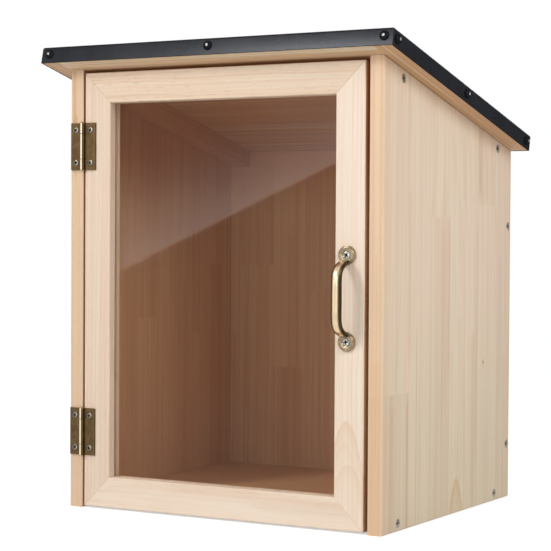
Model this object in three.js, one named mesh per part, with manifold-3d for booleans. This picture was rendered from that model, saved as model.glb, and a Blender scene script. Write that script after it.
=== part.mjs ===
// Street exchange box: a small glazed cabinet of pine boards under a sloping sheet metal roof.
// Frame: millimetres, +X to the right, +Y to the back, +Z up, origin at the centre of the floor's underside.
import * as THREE from "three";
import { mergeVertices } from "three/addons/utils/BufferGeometryUtils.js";
import Module from "manifold-3d";

const wasm = await Module();
wasm.setup();

// Cabinet
const boxWidth = 280;
const boxDepth = 240;
const frontHeight = 350;
const rearHeight = 291;
const boardThickness = 12;
const backThickness = 12;
const floorThickness = 12;
const boardEase = 0.8;

// Clearances
const glueGap = 0.2;
const seatGap = 0.15;
const screwClearance = 0.15;
const overrun = 2;

// Roof
const roofBoardThickness = 12;
const coverThickness = 1;
const frontOverhang = 20;
const sideOverhang = 15.5;
const rearOverhang = 1.4;
const cleatWidth = 19.5;
const cleatHeight = 13;

// Door
const doorThickness = 15;
const memberWidth = 24.3;
const memberEase = 0.7;
const hingeSideGap = 1.8;
const closingSideGap = 3.4;
const topGap = 2.6;
const bottomGap = 1.4;
const stopGap = 0.5;
const mitreGap = 0.1;
const rebateWidth = 7;
const lipDepth = 7;
const paneThickness = 3;
const paneBite = 6;
const beadEase = 1.2;

// Hinges
const hingeHeight = 37.5;
const hingeLeafThickness = 1.2;
const knuckleRadius = 2;
const middleKnuckleShare = 0.53;
const knuckleEndGap = 0.15;
const knuckleSideGap = 0.3;
const pinRadius = 1.2;
const pinClearance = 0.09;
const pinHeadShare = 0.85;
const pinHeadHeight = 0.9;
const hingeScrewReachShare = 0.585;
const hingeScrewSpacingShare = 0.693;
const upperHingeFromDoorTop = 58.5;
const lowerHingeFromDoorBottom = 59.6;

// Handle
const handleSpacing = 64;
const handleBelowMiddle = 1.6;
const handleAcrossStileShare = 0.428;
const rosetteRadius = 7;
const rosetteRimShare = 0.8;
const rosetteEdgeHeight = 1.6;
const rosetteRimHeight = 2.6;
const rosetteSeatMargin = 0.8;
const bowReach = 15.8;
const bowFootShare = 0.786;
const bowWidth = 8.5;
const bowThickness = 5.6;

// Magnetic catch
const catchHeight = 44;
const catchDepth = 13;
const catchBaseThickness = 2;
const catchHousingHeight = 24;
const catchHousingReach = 15;
const catchBelowCleat = 4;
const catchGap = 0.3;
const strikeHeight = 30;
const strikeWidth = 12;
const strikeThickness = 1.5;
const strikeFromStileEdge = 8.4;
const catchEase = 0.5;

// Screw places
const cleatScrewFromFront = 32;
const cleatScrewFromRear = 29;
const floorScrewFromFront = 27;
const floorScrewFromRear = 31;
const lowerBackScrewHeight = 44.6;
const upperBackScrewFromTop = 63.5;
const coverScrewFromCorner = 7.2;
const coverSideScrewInset = 7.6;

// Wood left beyond the points of the screws
const cleatPointMargin = 2;
const doorPointMargin = 3;
const strikePointMargin = 6.5;
const catchPointMargin = 4;
const coverScrewMargin = 0.4;

// Screws: head radius, cone depth, dome height, shank radius, length under the face, tip length, sink
const panelScrew = { head: 3.5, cone: 1.9, dome: 0.2, shank: 1.75, tip: 4, sink: 0.5 };
const hingeScrew = { head: 2.35, cone: 1.1, dome: 0.5, shank: 1.25, tip: 2.5, sink: 0 };
const handleScrew = { head: 2.8, cone: 1.3, dome: 0.6, shank: 1.5, tip: 3, sink: 0 };
const catchScrew = { head: 2.3, cone: 1.1, dome: 0.3, shank: 1.25, tip: 2.5, sink: 0 };
const strikeScrew = { head: 2.3, cone: 1.1, dome: 0, shank: 1.25, tip: 2.5, sink: 0 };
const coverScrew = { head: 3.7, cone: 0, dome: 2.2, shank: 1.4, tip: 1.6, sink: 0 };
panelScrew.length = boardThickness + cleatWidth - cleatPointMargin;
hingeScrew.length = hingeLeafThickness + doorThickness - doorPointMargin;
handleScrew.length = rosetteEdgeHeight + doorThickness - doorPointMargin;
catchScrew.length = catchBaseThickness + boardThickness - catchPointMargin;
strikeScrew.length = strikeThickness + doorThickness - strikePointMargin;
coverScrew.length = coverSideScrewInset - coverScrew.shank - coverScrewMargin;

// Facets of round shapes
const screwFacets = 12;
const knuckleFacets = 24;
const rosetteFacets = 24;
const bowSteps = 18;

// Derived places
const halfWidth = boxWidth / 2;
const innerHalfWidth = halfWidth - boardThickness;
const frontY = -boxDepth / 2;
const rearY = boxDepth / 2;
const backFaceY = rearY - backThickness;
const doorBackY = frontY + doorThickness;
const slopeAngle = Math.atan2(frontHeight - rearHeight, boxDepth);
const slopeLength = Math.hypot(boxDepth, frontHeight - rearHeight);
const slopeCos = Math.cos(slopeAngle);
const slopeSin = Math.sin(slopeAngle);
const coverRise = glueGap + roofBoardThickness + glueGap + coverThickness;
const hingeAxisX = -innerHalfWidth + hingeSideGap / 2 - seatGap;
const hingeAxisY = frontY - knuckleRadius - glueGap;
const hingeLeafWidth = hingeAxisX + halfWidth - boardEase;
const paneFrontY = frontY + lipDepth + seatGap;
const beadFrontY = paneFrontY + paneThickness + seatGap;

// A place on the roof's slope: run down the slope from the front edge of the sides, rise square to it.
function onSlope(run, rise) {
  const y = frontY + run * slopeCos + rise * slopeSin;
  const z = frontHeight - run * slopeSin + rise * slopeCos;
  return [y, z];
}

// The height over a place in Y of the line that lies the given rise off the slope.
function slopeHeight(y, rise) {
  return frontHeight - (y - frontY) * Math.tan(slopeAngle) + rise / slopeCos;
}

// Door outline and window opening, as the front view shows them
const door = {
  left: -innerHalfWidth + hingeSideGap,
  right: innerHalfWidth - closingSideGap,
  bottom: bottomGap,
  top: slopeHeight(frontY, -topGap),
};
const opening = {
  left: door.left + memberWidth,
  right: door.right - memberWidth,
  bottom: door.bottom + memberWidth,
  top: door.top - memberWidth,
};

// Solids

const prismFrames = {
  x: new THREE.Matrix4().makeBasis(
    new THREE.Vector3(0, 1, 0),
    new THREE.Vector3(0, 0, 1),
    new THREE.Vector3(1, 0, 0),
  ),
  y: new THREE.Matrix4().makeBasis(
    new THREE.Vector3(0, 0, 1),
    new THREE.Vector3(1, 0, 0),
    new THREE.Vector3(0, 1, 0),
  ),
};

// A manifold solid of a closed three.js geometry.
function solidOf(geometry) {
  const bare = geometry.clone();
  bare.deleteAttribute("normal");
  bare.deleteAttribute("uv");
  const merged = mergeVertices(bare);
  return new wasm.Manifold(
    new wasm.Mesh({
      numProp: 3,
      vertProperties: merged.attributes.position.array,
      triVerts: new Uint32Array(merged.index.array),
    }),
  );
}

// A prism along an axis. The outline is in (y, z) along x, and in (x, z) along y.
function prism(axis, outline, start, end, ease = 0) {
  const corners = outline.map(([u, v]) => (axis === "x" ? new THREE.Vector2(u, v) : new THREE.Vector2(v, u)));
  const geometry = new THREE.ExtrudeGeometry(new THREE.Shape(corners), {
    depth: end - start - 2 * ease,
    bevelEnabled: ease > 0,
    bevelThickness: ease,
    bevelSize: ease,
    bevelOffset: -ease,
    bevelSegments: 1,
  });
  geometry.translate(0, 0, start + ease);
  geometry.applyMatrix4(prismFrames[axis]);
  return solidOf(geometry);
}

// A block between two corners.
function block([x0, y0, z0], [x1, y1, z1], ease = 0) {
  const outline = [
    [y0, z0],
    [y1, z0],
    [y1, z1],
    [y0, z1],
  ];
  return prism("x", outline, x0, x1, ease);
}

// A turned solid: profile points are (radius, depth), depth runs from the place along the direction.
function turned(profile, place, direction, facets) {
  const points = profile.map(([radius, depth]) => new THREE.Vector2(radius, depth));
  const geometry = new THREE.LatheGeometry(points, facets);
  const turn = new THREE.Quaternion().setFromUnitVectors(new THREE.Vector3(0, 1, 0), direction);
  geometry.applyQuaternion(turn);
  geometry.translate(place.x, place.y, place.z);
  return solidOf(geometry);
}

// A bar between two rings of points, the same profile at both ends.
function bar(profile, startRing, endRing) {
  const count = profile.length;
  const flat = profile.map(([u, v]) => new THREE.Vector2(u, v));
  const caps = THREE.ShapeUtils.triangulateShape(flat, []);
  const index = [];
  for (let i = 0; i < count; i++) {
    const next = (i + 1) % count;
    index.push(i, next, count + next, i, count + next, count + i);
  }
  for (const [a, b, c] of caps) {
    index.push(a, c, b, count + a, count + b, count + c);
  }
  const geometry = new THREE.BufferGeometry();
  geometry.setAttribute("position", new THREE.Float32BufferAttribute([...startRing, ...endRing].flat(), 3));
  geometry.setIndex(index);
  const solid = solidOf(geometry);
  if (solid.volume() > 0) {
    return solid;
  }
  geometry.setIndex(index.reverse());
  return solidOf(geometry);
}

// One side of a mitred frame round a window. The profile is (distance out from the window, y).
function mitredSide(side, window, profile) {
  const rings = [0, 1].map((end) =>
    profile.map(([out, y]) => {
      const shrink = out - mitreGap;
      if (side === "left" || side === "right") {
        const x = side === "left" ? window.left - out : window.right + out;
        return [x, y, end ? window.top + shrink : window.bottom - shrink];
      }
      const z = side === "bottom" ? window.bottom - out : window.top + out;
      return [end ? window.right + shrink : window.left - shrink, y, z];
    }),
  );
  return bar(profile, rings[0], rings[1]);
}

// Screws and their holes

const headShoulderShare = 0.62;
const headShoulderRiseShare = 0.78;

function screwProfile(kind) {
  const under = kind.cone > 0 ? 0 : -seatGap;
  const dome = under - kind.dome;
  const shoulder = [kind.head * headShoulderShare, under - kind.dome * headShoulderRiseShare];
  return [
    [0, kind.length],
    [kind.shank, kind.length - kind.tip],
    [kind.shank, kind.cone > 0 ? kind.cone : under],
    [kind.head, under],
    ...(kind.dome > 0 ? [shoulder] : []),
    [0, dome],
  ].reverse();
}

function holeProfile(kind) {
  const wide = kind.head + screwClearance;
  const narrow = kind.shank + screwClearance;
  const end = kind.length + screwClearance;
  if (kind.cone > 0) {
    return [
      [0, -overrun],
      [wide, -overrun],
      [wide, screwClearance],
      [narrow, kind.cone + screwClearance],
      [narrow, end],
      [0, end],
    ];
  }
  return [
    [0, -overrun],
    [narrow, -overrun],
    [narrow, end],
    [0, end],
  ];
}

const screws = [];

// A screw of a kind at a place on a face, driven in along a direction, through or into the named pieces.
function addScrew(name, kind, face, direction, pieces) {
  const place = face.clone().addScaledVector(direction, kind.sink);
  screws.push({ name, kind, place, direction, pieces });
}

// Each piece with the holes of the screws that pass through it.
function drilled(name, solid) {
  let result = solid;
  for (const screw of screws) {
    if (screw.pieces.includes(name)) {
      result = result.subtract(turned(holeProfile(screw.kind), screw.place, screw.direction, screwFacets));
    }
  }
  return result;
}

const toLeft = new THREE.Vector3(-1, 0, 0);
const toRight = new THREE.Vector3(1, 0, 0);
const toBack = new THREE.Vector3(0, 1, 0);
const toFront = new THREE.Vector3(0, -1, 0);

// Screws that hold the cabinet, from outside each side
for (const [hand, sign, into] of [
  ["left", -1, toRight],
  ["right", 1, toLeft],
]) {
  const place = (y, z) => new THREE.Vector3(sign * halfWidth, y, z);
  const side = `${hand}_side_panel`;
  const cleat = `${hand}_roof_cleat`;
  const cleatPlaces = { front: frontY + cleatScrewFromFront, rear: rearY - cleatScrewFromRear };
  for (const [end, y] of Object.entries(cleatPlaces)) {
    addScrew(`${hand}_cleat_screw_${end}`, panelScrew, place(y, slopeHeight(y, -cleatHeight / 2)), into, [side, cleat]);
  }
  const floorPlaces = { front: frontY + floorScrewFromFront, rear: rearY - floorScrewFromRear };
  for (const [end, y] of Object.entries(floorPlaces)) {
    addScrew(`${hand}_floor_screw_${end}`, panelScrew, place(y, floorThickness / 2), into, [side, "floor_panel"]);
  }
  const backPlaces = { lower: lowerBackScrewHeight, upper: rearHeight - upperBackScrewFromTop };
  for (const [end, z] of Object.entries(backPlaces)) {
    addScrew(`${hand}_back_screw_${end}`, panelScrew, place(rearY - backThickness / 2, z), into, [side, "back_panel"]);
  }
}

// Screws of the hinges
const hingeHeights = {
  upper: door.top - upperHingeFromDoorTop,
  lower: door.bottom + lowerHingeFromDoorBottom,
};
const leafFaceY = frontY - seatGap - hingeLeafThickness;
for (const [place, height] of Object.entries(hingeHeights)) {
  for (const [leaf, sign, board] of [
    ["frame", -1, "left_side_panel"],
    ["door", 1, "door_left_stile"],
  ]) {
    for (const [end, lift] of [
      ["top", 1],
      ["bottom", -1],
    ]) {
      const x = hingeAxisX + sign * hingeLeafWidth * hingeScrewReachShare;
      const z = height + (lift * hingeHeight * hingeScrewSpacingShare) / 2;
      const face = new THREE.Vector3(x, leafFaceY, z);
      const name = `${place}_hinge_${leaf}_screw_${end}`;
      addScrew(name, hingeScrew, face, toBack, [`${place}_hinge_${leaf}_leaf`, board]);
    }
  }
}

// Screws of the handle
const handleX = opening.right + memberWidth * handleAcrossStileShare;
const handleHeight = (door.top + door.bottom) / 2 - handleBelowMiddle;
const rosetteSeatY = frontY - seatGap - rosetteEdgeHeight;
for (const [end, lift] of [
  ["top", 1],
  ["bottom", -1],
]) {
  const face = new THREE.Vector3(handleX, rosetteSeatY, handleHeight + (lift * handleSpacing) / 2);
  addScrew(`handle_screw_${end}`, handleScrew, face, toBack, ["door_handle", "door_right_stile"]);
}

// Screws of the catch
const cleatFrontY = doorBackY + stopGap + boardEase;
const catchBackX = innerHalfWidth - seatGap;
const strikeFaceY = doorBackY + seatGap + strikeThickness;
const catchFrontY = strikeFaceY + catchGap;
const catchRearY = catchFrontY + catchDepth;
const cleatUnderHeight = Math.min(slopeHeight(catchRearY, -cleatHeight), slopeHeight(cleatFrontY, -cleatHeight));
const catchCentreHeight = cleatUnderHeight - catchBelowCleat - catchHeight / 2;
const catchScrewSpacing = (catchHeight + catchHousingHeight) / 2;
const strikeX = door.right - strikeFromStileEdge;
for (const [end, lift] of [
  ["top", 1],
  ["bottom", -1],
]) {
  const z = catchCentreHeight + (lift * catchScrewSpacing) / 2;
  const face = new THREE.Vector3(catchBackX - catchBaseThickness, catchFrontY + catchDepth / 2, z);
  addScrew(`catch_body_screw_${end}`, catchScrew, face, toRight, ["catch_body", "right_side_panel"]);
}
const strikeFace = new THREE.Vector3(strikeX, strikeFaceY, catchCentreHeight);
addScrew("catch_plate_screw", strikeScrew, strikeFace, toFront, ["catch_plate", "door_right_stile"]);

// Screws of the roof cover
const coverFrontRun = -frontOverhang;
const coverRearRun = slopeLength + rearOverhang;
const coverHalfWidth = halfWidth + sideOverhang;
const coverScrewRise = coverRise / 2;
const downSlope = new THREE.Vector3(0, slopeCos, -slopeSin);
const frontScrewX = coverHalfWidth - coverScrewFromCorner;
for (const [end, x] of Object.entries({ left: -frontScrewX, middle: 0, right: frontScrewX })) {
  const [y, z] = onSlope(coverFrontRun, coverScrewRise);
  const face = new THREE.Vector3(x, y, z);
  addScrew(`cover_front_screw_${end}`, coverScrew, face, downSlope, ["roof_cover", "roof_board"]);
}
const sideScrewRuns = {
  front: coverFrontRun + coverSideScrewInset,
  middle: (coverFrontRun + coverRearRun) / 2,
  rear: coverRearRun - coverSideScrewInset,
};
for (const [hand, sign, into] of [
  ["left", -1, toRight],
  ["right", 1, toLeft],
]) {
  for (const [end, run] of Object.entries(sideScrewRuns)) {
    const [y, z] = onSlope(run, coverScrewRise);
    const face = new THREE.Vector3(sign * coverHalfWidth, y, z);
    addScrew(`cover_${hand}_screw_${end}`, coverScrew, face, into, ["roof_cover", "roof_board"]);
  }
}

// Boards of the cabinet

function sidePanel(sign) {
  const outline = [
    [frontY, 0],
    [rearY, 0],
    [rearY, rearHeight],
    [frontY, frontHeight],
  ];
  const faces = [sign * innerHalfWidth, sign * halfWidth].sort((a, b) => a - b);
  return prism("x", outline, faces[0], faces[1], boardEase);
}

function floorPanel() {
  const half = innerHalfWidth - glueGap;
  return block(
    [-half, doorBackY + stopGap, 0],
    [half, backFaceY - glueGap, floorThickness],
    boardEase,
  );
}

function backPanel() {
  const half = innerHalfWidth - glueGap;
  const outline = [
    [backFaceY, 0],
    [rearY, 0],
    [rearY, slopeHeight(rearY, 0) - boardEase],
    [rearY - boardEase, slopeHeight(rearY - boardEase, 0)],
    [backFaceY, slopeHeight(backFaceY, 0)],
  ];
  return prism("x", outline, -half, half);
}

function roofCleat(sign) {
  const cleatRearY = backFaceY - glueGap;
  const outline = [
    [cleatFrontY, slopeHeight(cleatFrontY, -cleatHeight)],
    [cleatRearY, slopeHeight(cleatRearY, -cleatHeight)],
    [cleatRearY, slopeHeight(cleatRearY, 0)],
    [cleatFrontY, slopeHeight(cleatFrontY, 0)],
  ];
  const outer = innerHalfWidth - glueGap;
  const faces = [sign * outer, sign * (outer - cleatWidth)].sort((a, b) => a - b);
  return prism("x", outline, faces[0], faces[1]);
}

// A slab on the roof's slope between two runs and two rises.
function slopeSlab(runs, rises, half, ease = 0) {
  const outline = [
    onSlope(runs[0], rises[0]),
    onSlope(runs[1], rises[0]),
    onSlope(runs[1], rises[1]),
    onSlope(runs[0], rises[1]),
  ];
  return prism("x", outline, -half, half, ease);
}

function roofBoard() {
  const inset = coverThickness + glueGap;
  const runs = [coverFrontRun + inset, coverRearRun - inset];
  return slopeSlab(runs, [glueGap, glueGap + roofBoardThickness], coverHalfWidth - inset);
}

function roofCover() {
  const outer = slopeSlab([coverFrontRun, coverRearRun], [0, coverRise], coverHalfWidth);
  const innerRuns = [coverFrontRun + coverThickness, coverRearRun - coverThickness];
  const inner = slopeSlab(innerRuns, [-overrun, coverRise - coverThickness], coverHalfWidth - coverThickness);
  return outer.subtract(inner);
}

// Door frame, pane and beads

const memberProfile = [
  [memberEase, frontY],
  [memberWidth - memberEase, frontY],
  [memberWidth, frontY + memberEase],
  [memberWidth, doorBackY],
  [rebateWidth, doorBackY],
  [rebateWidth, frontY + lipDepth],
  [0, frontY + lipDepth],
  [0, frontY + memberEase],
];

// The space above the door's sloping top edge.
function aboveDoor() {
  const near = frontY - overrun;
  const far = doorBackY + overrun;
  const outline = [
    [near, slopeHeight(near, -topGap)],
    [far, slopeHeight(far, -topGap)],
    [far, frontHeight + memberWidth],
    [near, frontHeight + memberWidth],
  ];
  return prism("x", outline, -halfWidth, halfWidth);
}

function doorMember(side) {
  const member = mitredSide(side, opening, memberProfile);
  return side === "bottom" ? member : member.subtract(aboveDoor());
}

function windowPane() {
  const outline = [
    [opening.left - paneBite, opening.bottom - paneBite],
    [opening.right + paneBite, opening.bottom - paneBite],
    [opening.right + paneBite, opening.top + paneBite],
    [opening.left - paneBite, opening.top + paneBite],
  ];
  return prism("y", outline, paneFrontY, paneFrontY + paneThickness);
}

const beadProfile = [
  [0, beadFrontY],
  [rebateWidth - seatGap, beadFrontY],
  [rebateWidth - seatGap, doorBackY],
  [beadEase, doorBackY],
  [0, doorBackY - beadEase],
];

// Hinges

const knuckleSplit = (hingeHeight * middleKnuckleShare) / 2;
const boreRadius = (pinRadius + pinClearance) / Math.cos(Math.PI / knuckleFacets);

function upright(profile, height) {
  const place = new THREE.Vector3(hingeAxisX, hingeAxisY, height);
  return turned(profile, place, new THREE.Vector3(0, 0, 1), knuckleFacets);
}

function barrel(radius, from, to, height) {
  const profile = [
    [0, from],
    [radius, from],
    [radius, to],
    [0, to],
  ];
  return upright(profile, height);
}

// One leaf with its knuckles: the frame leaf has the two outer ones, the door leaf the middle one.
function hingeLeaf(leaf, height) {
  const half = hingeHeight / 2;
  const sign = leaf === "frame" ? -1 : 1;
  const edges = [hingeAxisX, hingeAxisX + sign * hingeLeafWidth].sort((a, b) => a - b);
  const backY = frontY - seatGap;
  const plate = block(
    [edges[0], backY - hingeLeafThickness, height - half],
    [edges[1], backY, height + half],
  );
  const outerSpans = [
    [-half, -knuckleSplit - knuckleEndGap],
    [knuckleSplit + knuckleEndGap, half],
  ];
  const middleSpan = [[-knuckleSplit, knuckleSplit]];
  const ownSpans = leaf === "frame" ? outerSpans : middleSpan;
  const otherSpans = leaf === "frame" ? middleSpan : outerSpans;
  let solid = plate;
  for (const [from, to] of otherSpans) {
    const reach = knuckleRadius + knuckleSideGap;
    const low = from === -half ? from - overrun : from - knuckleEndGap;
    const high = to === half ? to + overrun : to + knuckleEndGap;
    const notch = block(
      [hingeAxisX - reach, backY - knuckleRadius - overrun, height + low],
      [hingeAxisX + reach, backY + overrun, height + high],
    );
    solid = solid.subtract(notch);
  }
  for (const [from, to] of ownSpans) {
    solid = solid.add(barrel(knuckleRadius, from, to, height));
  }
  return solid.subtract(barrel(boreRadius, -half - overrun, half + overrun, height));
}

function hingePin(height) {
  const end = hingeHeight / 2 + seatGap;
  const tip = end + pinHeadHeight;
  const crownShare = 0.7;
  const headRadius = knuckleRadius * pinHeadShare;
  const crown = headRadius * crownShare;
  const brow = end + pinHeadHeight * crownShare;
  return upright(
    [
      [0, -tip],
      [crown, -brow],
      [headRadius, -end],
      [pinRadius, -end],
      [pinRadius, end],
      [headRadius, end],
      [crown, brow],
      [0, tip],
    ],
    height,
  );
}

// Handle: a bow between two rosettes, cast in one piece

// Shares of the bow's half span along the door and of its reach off the door, from one foot to the crest.
const bowCurveShares = [
  [1, 0],
  [0.99, 0.22],
  [0.95, 0.48],
  [0.87, 0.72],
  [0.76, 0.89],
  [0.62, 0.975],
  [0.42, 1],
  [0.2, 1],
];

function bowCurve() {
  const bowSpan = handleSpacing - 2 * rosetteRadius * bowFootShare;
  const footY = frontY - seatGap - rosetteEdgeHeight / 2;
  const place = ([along, out], side) =>
    new THREE.Vector3(0, footY - out * (bowReach - rosetteEdgeHeight / 2), (side * along * bowSpan) / 2);
  const upper = bowCurveShares.map((shares) => place(shares, 1));
  const lower = bowCurveShares.map((shares) => place(shares, -1)).reverse();
  return new THREE.CatmullRomCurve3([...upper, ...lower]);
}

// Shares of half the bow's width and half its thickness, round a flattened section with a ridge.
const bowSectionShares = [
  [1, 0],
  [0.8, 0.62],
  [0.3, 0.96],
  [-0.3, 0.96],
  [-0.8, 0.62],
  [-1, 0],
  [-0.8, -0.62],
  [-0.3, -0.96],
  [0.3, -0.96],
  [0.8, -0.62],
];

function handleBow() {
  const curve = bowCurve();
  const section = bowSectionShares.map(
    ([across, through]) => new THREE.Vector2((through * bowThickness) / 2, (across * bowWidth) / 2),
  );
  const geometry = new THREE.ExtrudeGeometry(new THREE.Shape(section), {
    extrudePath: curve,
    steps: bowSteps,
    bevelEnabled: false,
  });
  geometry.translate(handleX, 0, handleHeight);
  return solidOf(geometry);
}

function rosette(lift) {
  const rimRadius = rosetteRadius * rosetteRimShare;
  const seatRadius = handleScrew.head + rosetteSeatMargin;
  const profile = [
    [0, 0],
    [rosetteRadius, 0],
    [rosetteRadius, rosetteEdgeHeight / 2],
    [rimRadius, rosetteEdgeHeight],
    [rimRadius, rosetteRimHeight],
    [seatRadius, rosetteRimHeight],
    [seatRadius, rosetteEdgeHeight],
    [0, rosetteEdgeHeight],
  ];
  const place = new THREE.Vector3(handleX, frontY - seatGap, handleHeight + (lift * handleSpacing) / 2);
  return turned(profile, place, toFront, rosetteFacets);
}

function doorHandle() {
  return handleBow().add(rosette(1)).add(rosette(-1));
}

// Magnetic catch on the right side, strike plate on the door

function catchBody() {
  const baseBottom = catchCentreHeight - catchHeight / 2;
  const baseTop = catchCentreHeight + catchHeight / 2;
  const base = block(
    [catchBackX - catchBaseThickness, catchFrontY, baseBottom],
    [catchBackX, catchRearY, baseTop],
  );
  const housingBottom = catchCentreHeight - catchHousingHeight / 2;
  const housingTop = catchCentreHeight + catchHousingHeight / 2;
  const housing = block(
    [catchBackX - catchHousingReach, catchFrontY, housingBottom],
    [catchBackX, catchRearY, housingTop],
    catchEase,
  );
  return base.add(housing);
}

function strikePlate() {
  return block(
    [strikeX - strikeWidth / 2, doorBackY + seatGap, catchCentreHeight - strikeHeight / 2],
    [strikeX + strikeWidth / 2, strikeFaceY, catchCentreHeight + strikeHeight / 2],
  );
}

// Materials

const finish = (color, roughness, metalness) => ({ color, roughness, metalness });
const pine = finish(0xd2b089, 0.55, 0);
const plywood = finish(0xc9a57c, 0.6, 0);
const blackSheet = finish(0x1c1c1f, 0.45, 0.3);
const blackScrew = finish(0x0c0c0e, 0.3, 0.6);
const zinc = finish(0xb9b6ad, 0.35, 1);
const darkBrass = finish(0x6b5637, 0.4, 1);
const steel = finish(0xc4c4c2, 0.3, 1);
const clear = { ...finish(0xd9dcd6, 0.05, 0), transparent: true, opacity: 0.25 };
const catchPlastic = finish(0x4a3326, 0.5, 0);

const box = new THREE.Group();

function addPiece(name, solid, look) {
  const { vertProperties, triVerts } = drilled(name, solid).getMesh();
  const geometry = new THREE.BufferGeometry();
  geometry.setAttribute("position", new THREE.BufferAttribute(vertProperties, 3));
  geometry.setIndex(new THREE.BufferAttribute(triVerts, 1));
  geometry.computeVertexNormals();
  const mesh = new THREE.Mesh(geometry, new THREE.MeshStandardMaterial(look));
  mesh.name = name;
  box.add(mesh);
}

addPiece("left_side_panel", sidePanel(-1), pine);
addPiece("right_side_panel", sidePanel(1), pine);
addPiece("floor_panel", floorPanel(), pine);
addPiece("back_panel", backPanel(), pine);
addPiece("left_roof_cleat", roofCleat(-1), pine);
addPiece("right_roof_cleat", roofCleat(1), pine);
addPiece("roof_board", roofBoard(), plywood);
addPiece("roof_cover", roofCover(), blackSheet);

addPiece("door_left_stile", doorMember("left"), pine);
addPiece("door_right_stile", doorMember("right"), pine);
addPiece("door_top_rail", doorMember("top"), pine);
addPiece("door_bottom_rail", doorMember("bottom"), pine);
addPiece("door_window", windowPane(), clear);
for (const side of ["left", "right", "top", "bottom"]) {
  addPiece(`glazing_bead_${side}`, mitredSide(side, opening, beadProfile), pine);
}

for (const [place, height] of Object.entries(hingeHeights)) {
  addPiece(`${place}_hinge_frame_leaf`, hingeLeaf("frame", height), darkBrass);
  addPiece(`${place}_hinge_door_leaf`, hingeLeaf("door", height), darkBrass);
  addPiece(`${place}_hinge_pin`, hingePin(height), darkBrass);
}

addPiece("door_handle", doorHandle(), darkBrass);
addPiece("catch_body", catchBody(), catchPlastic);
addPiece("catch_plate", strikePlate(), steel);

for (const { name, kind, place, direction } of screws) {
  const look = kind === coverScrew ? blackScrew : zinc;
  addPiece(name, turned(screwProfile(kind), place, direction, screwFacets), look);
}

export default box;
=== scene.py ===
import math

import bmesh
import bpy
from mathutils import Matrix, Quaternion, Vector


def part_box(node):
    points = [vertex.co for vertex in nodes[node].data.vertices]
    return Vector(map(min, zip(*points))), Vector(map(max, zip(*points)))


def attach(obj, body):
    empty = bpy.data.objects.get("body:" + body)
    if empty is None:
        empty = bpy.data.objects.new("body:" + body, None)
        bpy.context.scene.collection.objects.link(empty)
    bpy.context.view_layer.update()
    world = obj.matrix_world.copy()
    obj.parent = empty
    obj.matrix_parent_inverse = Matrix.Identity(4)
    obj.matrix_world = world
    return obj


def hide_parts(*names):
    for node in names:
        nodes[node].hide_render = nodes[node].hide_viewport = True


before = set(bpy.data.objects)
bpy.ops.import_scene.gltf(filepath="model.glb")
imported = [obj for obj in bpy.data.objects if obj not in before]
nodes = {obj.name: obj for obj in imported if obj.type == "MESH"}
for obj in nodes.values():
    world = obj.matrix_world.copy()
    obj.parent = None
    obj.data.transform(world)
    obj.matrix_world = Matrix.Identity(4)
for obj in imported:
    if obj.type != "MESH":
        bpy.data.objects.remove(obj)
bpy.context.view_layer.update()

# Sizes in millimetres. Frame: +X to the right, +Y to the back, +Z up, origin under the middle of the floor.
MM = 0.001
FRONT_Y, REAR_Y = -120.0, 120.0
FRONT_HEIGHT, REAR_HEIGHT = 350.0, 291.0
HALF_WIDTH = 140.0
SLOPE = math.atan((FRONT_HEIGHT - REAR_HEIGHT) / (REAR_Y - FRONT_Y))
DOWN_SLOPE = Vector((0, math.cos(SLOPE), -math.sin(SLOPE)))
OFF_SLOPE = Vector((0, math.sin(SLOPE), math.cos(SLOPE)))
SEAT_GAP = 0.15
COVER_FRONT, COVER_REAR = -20.0, 248.55
COVER_HALF, COVER_RISE, COVER_THICKNESS = 155.5, 13.4, 1.0
HINGE_X, HINGE_Y = -127.25, -122.2
HINGE_HEIGHT, LEAF_THICKNESS, KNUCKLE_RADIUS = 37.5, 1.2, 2.0
FLOOR_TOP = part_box("floor_panel")[1].z / MM
DOOR_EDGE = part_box("door_right_stile")[1].x / MM
DOOR_LEFT_EDGE = -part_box("door_left_stile")[0].x / MM
DOOR_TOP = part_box("door_top_rail")[1].z / MM
HANDLE_X = (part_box("door_handle")[0].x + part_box("door_handle")[1].x) / (2 * MM)


def on_slope(x, run, rise):
    """A place on the roof: run down the slope from the front edge of the sides, rise square to it."""
    return Vector((x, FRONT_Y, FRONT_HEIGHT)) + DOWN_SLOPE * run + OFF_SLOPE * rise


def middle(node):
    """The centre of a CAD node's box, in millimetres."""
    low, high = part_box(node)
    return (low + high) / (2 * MM)


def placed(name, data):
    """A new object in the scene."""
    made = bpy.data.objects.new(name, data)
    bpy.context.scene.collection.objects.link(made)
    return made


# Materials


def opaque(value):
    """A colour with its alpha. Other values stay as they are."""
    return (*value, 1.0) if isinstance(value, tuple) and len(value) == 3 else value


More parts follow.
